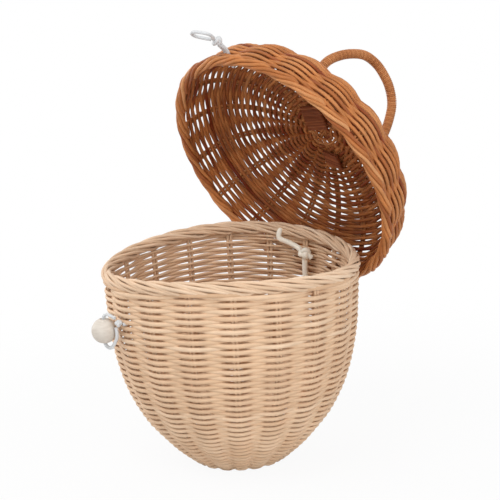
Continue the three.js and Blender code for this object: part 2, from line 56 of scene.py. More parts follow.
bodyShape = dict(
    radius=107, height=163.6, wall=7.5,
    shares=[(0.368, 0), (0.467, 0.055), (0.591, 0.134), (0.738, 0.257), (0.873, 0.44), (0.962, 0.685),
            (1, 1)],
)
bodyStations = np.array(bodyShape["shares"]) * (bodyShape["radius"], bodyShape["height"])
bodyWave = dict(height=4, peak=math.radians(128.5), top=bodyShape["height"])
rimShape = dict(radius=103, halfWidth=5, halfHeight=6.5, height=170.7)
lidRimShape = dict(radius=110.8, halfWidth=5.1, halfHeight=5.25, height=0)
lidShape = dict(radius=113.5, height=62.6, power=2.8, crown=36.3, border=lidRimShape["halfHeight"], seat=0.75)
leanValues = dict(hingeY=74.9, hingeZ=159.3, planeHeight=183, openAngle=math.radians(64.6))


def bodyRadiusAt(height):
    return float(np.interp(height, bodyStations[:, 1], bodyStations[:, 0]))


def waveRise(angle, wave):
    # how far a warped rim rises at this angle; a level one has no wave
    return wave["height"] * np.cos(2 * (angle - wave["peak"])) if wave else 0


def openLid(points):
    # from the closed lid, with heights over its ring plane, to the open lid's place
    points = np.array(points, float)
    y = points[..., 1] - leanValues["hingeY"]
    z = points[..., 2] + leanValues["planeHeight"] - leanValues["hingeZ"]
    cosine = math.cos(leanValues["openAngle"])
    sine = math.sin(leanValues["openAngle"])
    return np.stack([points[..., 0], y * cosine + z * sine + leanValues["hingeY"],
                     z * cosine - y * sine + leanValues["hingeZ"]], axis=-1)


# helpers for routes

def unit(rows):
    return rows / np.maximum(np.linalg.norm(rows, axis=-1, keepdims=True), 1e-9)


def polar(radius, angle, height):
    return np.array([radius * math.cos(angle), radius * math.sin(angle), height])


def roundAxis(radius, angle, height):
    # points round the basket's axis, one for each angle
    return np.stack([radius * np.cos(angle), radius * np.sin(angle), height + 0 * angle], axis=-1)


def lengthAlong(points):
    # length from the start to each point
    return np.concatenate([[0], np.cumsum(np.linalg.norm(np.diff(points, axis=0), axis=1))])


def routeLength(points):
    return float(np.linalg.norm(np.diff(points, axis=0), axis=1).sum())


def rowsAt(marks, along, rows):
    return np.stack([np.interp(marks, along, rows[:, k]) for k in range(3)], axis=1)


def smoothRoute(points, step, fine=40):
    # centripetal curve through the points, sampled every step
    points = np.array(points, float)
    before = 2 * points[0] - points[1]
    beyond = 2 * points[-1] - points[-2]
    full = np.vstack([before, points, beyond])
    t = np.linspace(0, 1, fine, endpoint=False)[:, None]
    found = []
    for i in range(len(points) - 1):
        a, b, c, d = full[i:i + 4]
        gaps = [max(np.linalg.norm(q - p), 1e-6) ** 0.5 for p, q in ((a, b), (b, c), (c, d))]
        leave = ((b - a) / gaps[0] - (c - a) / (gaps[0] + gaps[1]) + (c - b) / gaps[1]) * gaps[1]
        arrive = ((c - b) / gaps[1] - (d - b) / (gaps[1] + gaps[2]) + (d - c) / gaps[2]) * gaps[1]
        found.append(b + leave * t + (3 * (c - b) - 2 * leave - arrive) * t ** 2
                     + (2 * (b - c) + leave + arrive) * t ** 3)
    dense = np.vstack(found + [points[-1:]])
    along = lengthAlong(dense)
    count = max(int(round(along[-1] / step)), 2)
    return rowsAt(np.linspace(0, along[-1], count + 1), along, dense)


def steadyNormals(points, hint=(0, 0, 1), spare=(1, 0.2, 0.1), alike=0.9):
    # normals carried along a route without twist, from the hint, or the spare if the route starts along it
    along = unit(np.gradient(points, axis=0))
    normal = np.array(hint, float)
    if abs(np.dot(normal, along[0])) > alike:
        normal = np.array(spare, float)
    found = []
    for t in along:
        normal = normal - t * np.dot(normal, t)
        normal = normal / np.linalg.norm(normal)
        found.append(normal)
    return np.array(found)


# strands and the meshes made of them

fibreUv = dict(perLength=0.01, perShade=7)


def strand(points, normals, thick, wide, closed=False, shade=0.5):
    # thick is the half size along the normals, wide the half size across them
    sizes = [np.broadcast_to(size, (len(points),)).astype(float) for size in (thick, wide, shade)]
    return dict(points=np.array(points, float), normals=np.array(normals, float),
                thick=sizes[0], wide=sizes[1], shade=sizes[2], closed=closed)


def strandRings(item, angles, twist):
    # the corners round a strand, with its plies where it is laid up as a cord
    points, thick, wide = item["points"], item["thick"], item["wide"]
    if item["closed"]:
        ahead = np.roll(points, -1, axis=0) - np.roll(points, 1, axis=0)
    else:
        ahead = np.gradient(points, axis=0)
    ahead = unit(ahead)
    across = unit(np.cross(ahead, item["normals"]))
    outward = unit(np.cross(across, ahead))
    ply = np.ones((len(points), len(angles)))
    if twist:
        laid = angles[None, :] - lengthAlong(points)[:, None] * turn / twist["lay"]
        ply = 1 - twist["depth"] * np.abs(np.sin(twist["plies"] / 2 * laid))
    return (points[:, None, :]
            + outward[:, None, :] * (thick[:, None] * np.cos(angles) * ply)[:, :, None]
            + across[:, None, :] * (wide[:, None] * np.sin(angles) * ply)[:, :, None])


def strandFaces(item, sides, start):
    # the quads round a strand whose corners begin at start, its end caps, and a uv for each corner
    points = item["points"]
    count = len(points)
    spans = count if item["closed"] else count - 1
    i = np.arange(spans)[:, None]
    j = np.arange(sides)[None, :]
    after = (i + 1) % count
    near = (j + 1) % sides
    quads = np.stack([start + i * sides + j, start + i * sides + near,
                      start + after * sides + near, start + after * sides + j], axis=-1)
    faces = quads.reshape(-1, 4).tolist()
    along = lengthAlong(points)
    total = along[-1] + (np.linalg.norm(points[0] - points[-1]) if item["closed"] else 0)
    low = along[i[:, 0]]
    high = np.append(along, total)[i[:, 0] + 1]
    moved = item["shade"][0] * fibreUv["perShade"]
    uv = np.zeros((spans, sides, 4, 2))
    uv[..., 0, 0] = uv[..., 1, 0] = low[:, None]
    uv[..., 2, 0] = uv[..., 3, 0] = high[:, None]
    uv[..., 0, 1] = uv[..., 3, 1] = j / sides
    uv[..., 1, 1] = uv[..., 2, 1] = (j + 1) / sides
    uv[..., 0] = uv[..., 0] * fibreUv["perLength"] + moved
    uvs = [uv.reshape(-1, 2)]
    if not item["closed"]:
        first = [start + k for k in range(sides)][::-1]
        last = [start + (count - 1) * sides + k for k in range(sides)]
        faces += [first, last]
        uvs.append(np.full((2 * sides, 2), moved))
    return faces, uvs


def strandPiece(name, strands, sides=8, place=None, twist=None):
    # one mesh of many strands, with a uv along each strand and a shade for each
    angles = np.arange(sides) * turn / sides
    corners, faces, uvs = [], [], []
    start = 0
    for item in strands:
        corners.append(strandRings(item, angles, twist).reshape(-1, 3))
        itemFaces, itemUvs = strandFaces(item, sides, start)
        faces += itemFaces
        uvs += itemUvs
        start += len(corners[-1])
    allCorners = np.vstack(corners)
    if place is not None:
        allCorners = place(allCorners)
    mesh = bpy.data.meshes.new(name)
    mesh.from_pydata((allCorners * mm).tolist(), [], faces)
    layer = mesh.uv_layers.new(name="strandUv")
    layer.data.foreach_set("uv", np.vstack(uvs).astype(np.float32).ravel())
    shades = np.concatenate([np.repeat(item["shade"], sides) for item in strands])
    shadeData = mesh.attributes.new("shade", "FLOAT", "POINT")
    shadeData.data.foreach_set("value", shades.astype(np.float32))
    mesh.polygons.foreach_set("use_smooth", np.ones(len(mesh.polygons), bool))
    mesh.update()
    piece = bpy.data.objects.new(name, mesh)
    scene.collection.objects.link(piece)
    return piece


def dress(piece, material, body, slot, *nodes):
    piece.data.materials.clear()
    piece.data.materials.append(material)
    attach(piece, body)
    if nodes:
        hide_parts(*nodes)


# camera, at the photograph's place

cameraValues = dict(
    position=(1.14553, -1.06427, 0.56848),
    right=(0.69622, 0.7162, -0.04838), up=(-0.14036, 0.20192, 0.96929), back=(0.70398, -0.66805, 0.2411),
    lens=139.64, sensor=36, farthest=50,
)
cameraData = bpy.data.cameras.new("camera")
cameraData.lens = cameraValues["lens"]
cameraData.sensor_width = cameraValues["sensor"]
cameraData.clip_end = cameraValues["farthest"]
camera = bpy.data.objects.new("camera", cameraData)
scene.collection.objects.link(camera)
axes = Matrix([cameraValues["right"], cameraValues["up"], cameraValues["back"]]).transposed()
camera.matrix_world = Matrix.Translation(cameraValues["position"]) @ axes.to_4x4()
scene.camera = camera
print("camera placed")


# helpers for materials

def srgb(r, g, b):
    def linear(value):
        value = value / 255
        return value / 12.92 if value <= 0.04045 else ((value + 0.055) / 1.055) ** 2.4
    return (linear(r), linear(g), linear(b), 1)


def nodeMaterial(name):
    material = bpy.data.materials.new(name)
    material.use_nodes = True
    tree = material.node_tree
    return material, tree, tree.nodes["Principled BSDF"]


def addNode(tree, kind, **values):
    made = tree.nodes.new(kind)
    for key, value in values.items():
        if hasattr(made, key):
            setattr(made, key, value)
        else:
            made.inputs[key].default_value = value
    return made


def addNoise(tree, source, stretch, detail, roughness):
    # noise stretched along the source's axes
    place = addNode(tree, "ShaderNodeMapping", Scale=stretch)
    tree.links.new(source, place.inputs["Vector"])
    noise = addNode(tree, "ShaderNodeTexNoise", Scale=1.0, Detail=detail, Roughness=roughness)
    tree.links.new(place.outputs["Vector"], noise.inputs["Vector"])
    return noise.outputs["Fac"]


def addRange(tree, source, low, high, start=0.0, end=1.0, **values):
    # the source's stretch from start to end, brought to low and high
    made = addNode(tree, "ShaderNodeMapRange", **values)
    for key, value in (("From Min", start), ("From Max", end), ("To Min", low), ("To Max", high)):
        made.inputs[key].default_value = value
    tree.links.new(source, made.inputs["Value"])
    return made.outputs["Result"]


def addTones(tree, source, dark, light, main=None, start=0.0, end=1.0):
    # a colour ramp from dark to light, through main at its middle
    made = addNode(tree, "ShaderNodeValToRGB")
    elements = made.color_ramp.elements
    for element, position, color in zip(elements, (start, end), (dark, light)):
        element.position = position
        element.color = color
    if main:
        elements.new((start + end) / 2).color = main
    tree.links.new(source, made.inputs["Fac"])
    return made.outputs["Color"]


def addMath(tree, operation, first, second):
    made = addNode(tree, "ShaderNodeMath", operation=operation)
    tree.links.new(first, made.inputs[0])
    tree.links.new(second, made.inputs[1])
    return made.outputs["Value"]


def addBump(tree, shader, height, strength, distance):
    bump = addNode(tree, "ShaderNodeBump", Strength=strength, Distance=distance)
    tree.links.new(height, bump.inputs["Height"])
    tree.links.new(bump.outputs["Normal"], shader.inputs["Normal"])


# rattan: a tone for each strand, long fibres along it and small blotches

bodyTones = dict(
    dark=srgb(211, 174, 140), main=srgb(222, 188, 155), light=srgb(231, 202, 172),
    stretch=(9, 7, 1), grainDetail=5, grainRough=0.65, grainFrom=0.3, grainTo=0.7,
    grainLow=0.93, grainHigh=1.04, blotchScale=60, blotchDetail=3, blotchRough=0.6, blotchFrom=0.35,
    blotchTo=0.65, blotchLow=0.95, blotchHigh=1.04, roughLow=0.5, roughHigh=0.75, bump=0.35,
    bumpDepth=0.0003, specular=0.25,
)
borderTones = dict(bodyTones, dark=srgb(207, 174, 143), main=srgb(221, 190, 160), light=srgb(231, 205, 178))
lidTones = dict(
    bodyTones, dark=srgb(124, 50, 18), main=srgb(188, 119, 66), light=srgb(210, 149, 98),
    grainLow=0.82, grainHigh=1.1, blotchLow=0.86, blotchHigh=1.06, roughLow=0.4, roughHigh=0.65,
    specular=0.22,
)
lashTones = dict(lidTones, dark=srgb(128, 64, 32), main=srgb(158, 88, 50), light=srgb(190, 118, 74))
handleTones = dict(lidTones, dark=srgb(160, 98, 54), main=srgb(186, 120, 72), light=srgb(202, 140, 90),
                   grainLow=0.94, grainHigh=1.04, stretch=(9, 3, 1))


def rattan(name, v):
    material, tree, shader = nodeMaterial(name)
    link = tree.links.new
    coordinates = addNode(tree, "ShaderNodeTexCoord")
    shade = addNode(tree, "ShaderNodeAttribute", attribute_name="shade")
    tones = addTones(tree, shade.outputs["Fac"], v["dark"], v["light"], v["main"])
    grain = addNoise(tree, coordinates.outputs["UV"], v["stretch"], v["grainDetail"], v["grainRough"])
    blotch = addNode(tree, "ShaderNodeTexNoise", Scale=v["blotchScale"], Detail=v["blotchDetail"],
                     Roughness=v["blotchRough"])
    link(coordinates.outputs["Object"], blotch.inputs["Vector"])
    grainTone = addRange(tree, grain, v["grainLow"], v["grainHigh"], v["grainFrom"], v["grainTo"])
    blotchTone = addRange(tree, blotch.outputs["Fac"], v["blotchLow"], v["blotchHigh"], v["blotchFrom"],
                          v["blotchTo"])
    tinted = addNode(tree, "ShaderNodeVectorMath", operation="SCALE")
    link(tones, tinted.inputs["Vector"])
    link(addMath(tree, "MULTIPLY", grainTone, blotchTone), tinted.inputs["Scale"])
    link(tinted.outputs["Vector"], shader.inputs["Base Color"])
    link(addRange(tree, grain, v["roughLow"], v["roughHigh"]), shader.inputs["Roughness"])
    addBump(tree, shader, grain, v["bump"], v["bumpDepth"])
    shader.inputs["Specular IOR Level"].default_value = v["specular"]
    return material


bodyRattan = rattan("bodyRattan", bodyTones)
borderRattan = rattan("borderRattan", borderTones)
lidRattan = rattan("lidRattan", lidTones)
lashRattan = rattan("lashRattan", lashTones)
handleRattan = rattan("handleRattan", handleTones)


# cotton: soft spun cord with fine fibres and a dull sheen

cottonValues = dict(
    stretch=(60, 12, 1), detail=4, fineness=0.7, darkAt=0.3, lightAt=0.7, bump=0.5, bumpDepth=0.0003,
    roughness=0.92, sheen=0.25, sheenRoughness=0.5,
)


def cotton(name, dark, light):
    v = cottonValues
    material, tree, shader = nodeMaterial(name)
    coordinates = addNode(tree, "ShaderNodeTexCoord")
    fibre = addNoise(tree, coordinates.outputs["UV"], v["stretch"], v["detail"], v["fineness"])
    tones = addTones(tree, fibre, dark, light, start=v["darkAt"], end=v["lightAt"])
    tree.links.new(tones, shader.inputs["Base Color"])
    addBump(tree, shader, fibre, v["bump"], v["bumpDepth"])
    shader.inputs["Roughness"].default_value = v["roughness"]
    shader.inputs["Sheen Weight"].default_value = v["sheen"]
    shader.inputs["Sheen Roughness"].default_value = v["sheenRoughness"]
    return material


whiteCotton = cotton("whiteCotton", srgb(194, 196, 198), srgb(220, 221, 222))
creamCotton = cotton("creamCotton", srgb(240, 233, 216), srgb(251, 247, 236))
print("materials made")


# cords, on the routes of their CAD solids, drawn a little thicker

cordValues = dict(plies=3, plyDepth=0.02, grown=1.3, step=0.45, sides=18, clear=0.3)
knotValues = dict(points=90, sides=12, height=1.6, lean=0.6)
whiteCord = dict(radius=1.1, lay=4.2, material=whiteCotton, slot="white_cord")
creamCord = dict(radius=1.8, lay=6.5, material=creamCotton, slot="cream_cord")


def cordRoute(points):
    return smoothRoute(points, cordValues["step"])


def laidCord(name, strands, cord, sides):
    twist = dict(plies=cordValues["plies"], depth=cordValues["plyDepth"], lay=cord["lay"])
    return strandPiece(name, strands, sides=sides, twist=twist)


def ropePiece(name, route, cord):
    grown = cord["radius"] * cordValues["grown"]
    return laidCord(name, [strand(route, steadyNormals(route), grown, grown)], cord, cordValues["sides"])


def knotPiece(name, centre, reach, thick, tilt, cord):
    # an overhand knot drawn tight: one strand laid through itself
    t = np.linspace(0, turn, knotValues["points"], endpoint=False)
    route = np.stack([np.sin(t) + 2 * np.sin(2 * t), np.cos(t) - 2 * np.cos(2 * t),
                      -knotValues["height"] * np.sin(3 * t)], axis=1)
    route = route * (reach - thick) / 3
    turned = Matrix.Identity(3)
    for angle, axis in zip(tilt, "XYZ"):
        turned = turned @ Matrix.Rotation(angle, 3, axis)
    route = route @ np.array(turned).T + np.array(centre)
    normals = np.tile(np.array(turned) @ np.array([0, 0, 1.0]), (len(route), 1))
    normals = normals + knotValues["lean"] * unit(route - np.array(centre))
    return laidCord(name, [strand(route, normals, thick, thick, closed=True)], cord, knotValues["sides"])


def dressCord(piece, cord, body, *nodes):
    dress(piece, cord["material"], body, cord["slot"], *nodes)


# the white loop on the lid's front edge

loopValues = dict(
    angle=math.radians(260.5), height=9.4, knotOut=12.5, knotDrop=3.4, slope=math.radians(40),
    length=24.2, width=18, sides=[(0.34, 0.58), (0.6, 1), (0.85, 0.78)],
    knotRadius=4, knotGrown=0.9, knotThick=1.95, knotTilt=(0.4, 0.3, 0.2),
    stemRadius=2.1, twinAside=1.3, twinThick=1.7, twinSides=12,
    stopRadius=3.6, stopThick=1.45, stopTilt=(1.1, 0.2, 0.5),
)


def closureLoop():
    v = loopValues
    radius = whiteCord["radius"]
    clear = cordValues["clear"]
    knotAt = lidShape["radius"] + v["knotOut"]
    knotHeight = v["height"] - v["knotDrop"]
    knotCentre = polar(knotAt, v["angle"], knotHeight)
    out = polar(1, v["angle"], 0)
    across = polar(1, v["angle"] + turn / 4, 0)

    def loopPoint(along, aside):
        point = knotCentre + out * along * math.cos(v["slope"]) + across * aside
        point[2] -= along * math.sin(v["slope"])
        return point

    side = [(v["knotRadius"] + clear, v["stemRadius"] - radius / 2)]
    side += [(a * v["length"], b * v["width"] / 2) for a, b in v["sides"]]
    points = [loopPoint(a, b) for a, b in side] + [loopPoint(v["length"], 0)]
    points += [loopPoint(a, -b) for a, b in reversed(side)]
    route = openLid(cordRoute(points))
    loop = ropePiece("closure_loop_cord", route, whiteCord)
    dressCord(loop, whiteCord, "loop", "closure_loop")
    knot = knotPiece("loop_knot_cord", openLid(knotCentre), v["knotRadius"] + v["knotGrown"], v["knotThick"],
                     v["knotTilt"], whiteCord)
    dressCord(knot, whiteCord, "lid", "loop_knot")

    # both ends of the loop pass through the wall to a stop knot
    inside = lidShape["radius"] - bodyShape["wall"] - v["stopRadius"]
    stem = [polar(inside, v["angle"], v["height"]),
            polar(lidShape["radius"] - bodyShape["wall"] / 2, v["angle"], v["height"]),
            polar(lidShape["radius"] + radius, v["angle"], v["height"]),
            polar(knotAt - v["knotRadius"] - clear, v["angle"], knotHeight + radius)]
    twins = []
    for aside in (-1, 1):
        line = openLid(cordRoute([p + across * aside * v["twinAside"] for p in stem]))
        twins.append(strand(line, steadyNormals(line), v["twinThick"], v["twinThick"]))
    stemPiece = laidCord("loop_stem_cord", twins, whiteCord, v["twinSides"])
    stopCentre = openLid(polar(inside - radius, v["angle"], v["height"]))
    stop = knotPiece("loop_stop_knot", stopCentre, v["stopRadius"], v["stopThick"], v["stopTilt"], whiteCord)
    dressCord(stemPiece, whiteCord, "lid", "loop_stem")
    dressCord(stop, whiteCord, "lid")


closureLoop()


# the bead and its cord, which turns at the bead's mouths in an even bend

beadValues = dict(
    radius=10.5, bore=1.6, eased=0.6, segments=48, rings=32,
    aside=13.4, drop=8, out=0.9, bend=4.5, bendAt=9.6, upperTurns=(105, 80, 55, 30),
    lowerTurns=(30, 55, 80, 105, 128), beside=((10.2, -9.2), (12.9, -3.4)), topTurn=130, lowTurn=235,
    knotRadius=3.4, knotThick=1.45, knotTilt=(1.2, 0.1, 0.3), knotAngle=math.radians(-101.5), knotHeight=139,
    knotOut=0.5, holeAngle=math.radians(-100.1), stopRadius=3, stopThick=1.25, stopTilt=(0.2, 1.3, 0.1),
)
beadTones = dict(
    dark=srgb(200, 190, 178), light=srgb(216, 208, 198), stretch=(90, 260, 900), detail=5, fineness=0.6,
    darkAt=0.3, lightAt=0.75, roughness=0.62, bump=0.1, bumpDepth=0.0002,
)


def beadWood():
    v = beadTones
    material, tree, shader = nodeMaterial("beadWood")
    coordinates = addNode(tree, "ShaderNodeTexCoord")
    grain = addNoise(tree, coordinates.outputs["Object"], v["stretch"], v["detail"], v["fineness"])
    tones = addTones(tree, grain, v["dark"], v["light"], start=v["darkAt"], end=v["lightAt"])
    tree.links.new(tones, shader.inputs["Base Color"])
    shader.inputs["Roughness"].default_value = v["roughness"]
    addBump(tree, shader, grain, v["bump"], v["bumpDepth"])
    return material


def turnedBead(centre):
    # a turned ball, opened at its poles and joined through its bore
    v = beadValues
    bpy.ops.object.select_all(action="DESELECT")
    bpy.ops.mesh.primitive_uv_sphere_add(segments=v["segments"], ring_count=v["rings"],
                                         radius=v["radius"] * mm)
    ball = bpy.context.active_object
    ball.name = "wooden_bead"
    bpy.ops.object.mode_set(mode="EDIT")
    bpy.ops.mesh.select_all(action="DESELECT")
    bpy.ops.object.mode_set(mode="OBJECT")
    for vertex in ball.data.vertices:
        vertex.select = math.hypot(vertex.co.x, vertex.co.y) < (v["bore"] + v["eased"]) * mm
    bpy.ops.object.mode_set(mode="EDIT")
    bpy.ops.mesh.delete(type="VERT")
    bpy.ops.mesh.select_all(action="DESELECT")
    bpy.ops.mesh.select_non_manifold()
    bpy.ops.mesh.bridge_edge_loops()
    bpy.ops.mesh.select_all(action="SELECT")
    bpy.ops.mesh.normals_make_consistent(inside=False)
    bpy.ops.object.mode_set(mode="OBJECT")
    # Blender lists a ball's faces in another order each run, so they are listed again by their corners
    corners = [tuple(vertex.co) for vertex in ball.data.vertices]
    faces = [tuple(face.vertices) for face in ball.data.polygons]
    ball.data.clear_geometry()
    ball.data.from_pydata(corners, [], sorted(min(face, face[2:] + face[:2]) for face in faces))
    ball.data.polygons.foreach_set("use_smooth", np.ones(len(ball.data.polygons), bool))
    ball.data.transform(Matrix.Translation(Vector(centre) * mm))
    return ball


def beadAndCord():
    v = beadValues
    radius = whiteCord["radius"]
    wall = bodyRadiusAt(v["knotHeight"])
    knotCentre = polar(wall + v["knotRadius"] + v["knotOut"], v["knotAngle"], v["knotHeight"])
    height = v["knotHeight"] - v["drop"]
    reach = bodyRadiusAt(height) + v["radius"] + v["out"]
    centre = polar(reach, v["knotAngle"] - v["aside"] / (reach + wall) * 2, height)
    side = knotCentre - centre
    side[2] = 0
    span = np.linalg.norm(side)
    side = side / span
    knotReach = v["knotRadius"] + cordValues["clear"] + radius

    def at(aside, up):
        return centre + side * aside + np.array([0, 0, up])

    def byKnot(angle):
        lead = math.radians(angle)
        return at(span + knotReach * math.cos(lead), v["drop"] + knotReach * math.sin(lead))

    def bend(angle, way):
        leave = math.radians(angle)
        return at(v["bend"] * (1 - math.cos(leave)), way * (v["bendAt"] + v["bend"] * math.sin(leave)))

    points = [byKnot(v["topTurn"])]
    points += [bend(angle, 1) for angle in v["upperTurns"]]
    points += [at(0, v["bendAt"]), at(0, 0), at(0, -v["bendAt"])]
    points += [bend(angle, -1) for angle in v["lowerTurns"]]
    points += [at(*place) for place in v["beside"]]
    points.append(byKnot(v["lowTurn"]))
    route = cordRoute(points)
    loop = ropePiece("bead_cord", route, whiteCord)
    dressCord(loop, whiteCord, "bead_drop", "bead_loop")
    knot = knotPiece("bead_knot_cord", knotCentre, v["knotRadius"], v["knotThick"], v["knotTilt"], whiteCord)
    dressCord(knot, whiteCord, "basket", "bead_knot")

    # its passage through the wall to a stop knot
    holeHeight = v["knotHeight"] - radius
    stopAt = bodyRadiusAt(holeHeight) - bodyShape["wall"] - v["stopRadius"]
    stemRoute = cordRoute([polar(r, v["holeAngle"], holeHeight)
                           for r in (stopAt, wall - bodyShape["wall"] / 2, wall + radius)])
    stem = ropePiece("bead_stem_cord", stemRoute, whiteCord)
    dressCord(stem, whiteCord, "basket", "bead_stem")
    stopCentre = polar(stopAt - radius, v["holeAngle"], holeHeight)
    stop = knotPiece("bead_stop_knot", stopCentre, v["stopRadius"], v["stopThick"], v["stopTilt"], whiteCord)
    dressCord(stop, whiteCord, "basket")
    ball = turnedBead(centre)
    dress(ball, beadWood(), "bead_drop", "bead_wood", "bead")


beadAndCord()


# the cream lacing that hinges the lid

laceValues = dict(
    angle=math.radians(110.2), endAngle=math.radians(92), knotAngle=math.radians(93), knotHeight=157.8,
    knotRadius=5.3, knotGrown=0.6, knotThick=2.5, knotTilt=(1.35, 0.15, 0.4), shares=(0.4, 0.75),
    tail=19, tailIn=1.5, tailSway=(0.3, 0.2), shortEnd=((2.6, 1.6, -1.2), (5.2, 3.4, -4.2)),
    wrapOut=0.7, wrap=((1 / 6, 0.5), (1 / 3, 0), (1 / 2, 0), (2 / 3, 0), (5 / 6, 0.5)), bend=2.7, wallOut=0.6,
)
laceHeight = rimShape["height"] + float(waveRise(laceValues["angle"], bodyWave))
lidInside = lidRimShape["radius"] - lidRimShape["halfWidth"]


def insideLacing():
    # from the rim down the inside of the back wall to its knot, with a hanging tail and a short end
    v = laceValues
    radius = creamCord["radius"]
    inside = bodyShape["radius"] - bodyShape["wall"] - radius * 2
    knotAt = inside + radius - v["knotRadius"]
    knotCentre = polar(knotAt, v["knotAngle"], v["knotHeight"])
    edge = v["knotRadius"] + cordValues["clear"]
    edgeAngle = v["knotAngle"] + edge / inside
    top = laceHeight - radius * 3
    points = [polar(rimShape["radius"] + out, v["angle"], laceHeight)
              for out in (rimShape["halfWidth"], 0, -rimShape["halfWidth"])]
    points.append(polar(inside, v["angle"], top))
    for share in v["shares"]:
        points.append(polar(inside, v["angle"] + (edgeAngle - v["angle"]) * share,
                            top + (v["knotHeight"] - laceHeight + radius * 4) * share))
    points.append(polar(knotAt + radius, edgeAngle, v["knotHeight"] + radius))
    route = cordRoute(points)
    run = ropePiece("hinge_lacing_cord", route, creamCord)
    dressCord(run, creamCord, "basket", "hinge_lacing")
    knot = knotPiece("lacing_knot_cord", knotCentre, v["knotRadius"] + v["knotGrown"], v["knotThick"],
                     v["knotTilt"], creamCord)
    dressCord(knot, creamCord, "basket", "lacing_knot")
    start = knotCentre - np.array([0, 0, edge - v["tailIn"]])
    tailRoute = cordRoute([start, start - np.array([*v["tailSway"], v["tail"] / 2]),
                           start - np.array([0, 0, v["tail"]])])
    tail = ropePiece("lacing_tail_cord", tailRoute, creamCord)
    dressCord(tail, creamCord, "basket", "lacing_tail")
    endRoute = cordRoute([knotCentre] + [knotCentre + moved for moved in v["shortEnd"]])
    shortEnd = ropePiece("lacing_short_end", endRoute, creamCord)
    dressCord(shortEnd, creamCord, "basket")


def lidLacing():
    # round the outside of the lid's border between its two holes
    v = laceValues
    radius = creamCord["radius"]
    outside = lidRimShape["radius"] + lidRimShape["halfWidth"] + v["wrapOut"] + radius
    through = (lidInside + radius, lidRimShape["radius"], outside - radius)
    points = [polar(r, v["angle"], 0) for r in through]
    for share, out in v["wrap"]:
        points.append(polar(outside + radius * out, v["angle"] + (v["endAngle"] - v["angle"]) * share, 0))
    points += [polar(r, v["endAngle"], 0) for r in reversed(through)]
    route = openLid(cordRoute(points))
    piece = ropePiece("lid_lacing_cord", route, creamCord)
    dressCord(piece, creamCord, "lid", "lid_lacing")


def outerLacing():
    v = laceValues
    lead = creamCord["radius"] / 3
    bend = v["bend"]
    near = math.sin(math.radians(45)) * bend
    rimOutside = rimShape["radius"] + rimShape["halfWidth"] + cordValues["clear"]
    lidHole = lidInside - cordValues["clear"]
    wallOutside = bodyRadiusAt(v["knotHeight"]) + v["wallOut"]
    for name, angle, start, level in (("outer_lacing_left", v["angle"], rimOutside, laceHeight),
                                      ("outer_lacing_right", v["endAngle"], wallOutside, v["knotHeight"])):
        points = [polar(start, angle, level), polar(start + lead, angle, level),
                  polar(start + lead + near, angle, level - bend + near),
                  polar(start + lead + bend, angle, level - bend)]
        points += [openLid(polar(lidHole - back, angle, 0)) for back in (bend, lead, 0)]
        route = cordRoute(points)
        piece = ropePiece(name + "_cord", route, creamCord)
        piece.data.materials.append(creamCotton)
        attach(piece, "basket")
        piece.parent = None
        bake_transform(piece)
        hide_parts(name)


insideLacing()
lidLacing()
outerLacing()
print("cords and bead made")


# helpers for weave on a curved wall

weaveValues = dict(
    stakes=18, phase=math.radians(-42.8), pitch=2.74, swing=2.45, thick=1.3, wide=1.66, wideAtStake=1.8,
    between=(0.17, 0.34, 0.5, 0.66, 0.83), hold=2.2, mostHold=0.2, settle=2.1, insideShare=0.68,
    uneven=0.06, waves=(2, 5, 9, 17), easeFrom=14, easeTo=26, eased=0.65,
    loose=0.15, looseAt=math.radians(135), looseMiddle=0.5, looseOver=0.2,
    tone=0.5, toneSpread=0.2, insidePaintedShade=0,
    stakeRadius=1.3, stakeAside=1.42, stakeNearest=3, stakeLighter=0.1, stakeToneSpread=0.15,
)
profilePoints = dict(step=0.25, body=400, dome=900, base=200)


def profileLine(outer, inset):
    # middle line of a wall from its outer points (radius, height), by length along it
    outer = np.array(outer, float)
    along = unit(np.gradient(outer, axis=0))
    normals = np.stack([along[:, 1], -along[:, 0]], axis=1)
    middle = outer - normals * inset
    length = lengthAlong(middle)
    return dict(middle=middle, normals=normals, length=length, total=length[-1])


def lineAt(line, s):
    # past its ends the line runs on straight
    held = np.clip(s, 0, line["total"])
    radius, height = (np.interp(held, line["length"], line["middle"][:, k]) for k in (0, 1))
    out, up = (np.interp(held, line["length"], line["normals"][:, k]) for k in (0, 1))
    size = np.hypot(out, up)
    out, up = out / size, up / size
    return radius - up * (s - held), height + out * (s - held), out, up


def onWall(line, s, angle, depth, wave):
    # a point of the wall, depth out from its middle, and the wall's outward normal there
    radius, height, out, up = lineAt(line, s)
    radius = radius + depth * out
    height = height + depth * up
    if wave:
        height = height + waveRise(angle, wave) * np.clip(height / wave["top"], 0, 1.1) ** 2
    return roundAxis(radius, angle, height), roundAxis(out, angle, up)


def wander(angle, size, waves):
    # a small uneven drift round the wall
    found = np.zeros_like(angle)
    for k in waves:
        found += size / len(waves) ** 0.5 * dice.normal() * np.cos(k * angle + dice.uniform(0, turn))
    return found


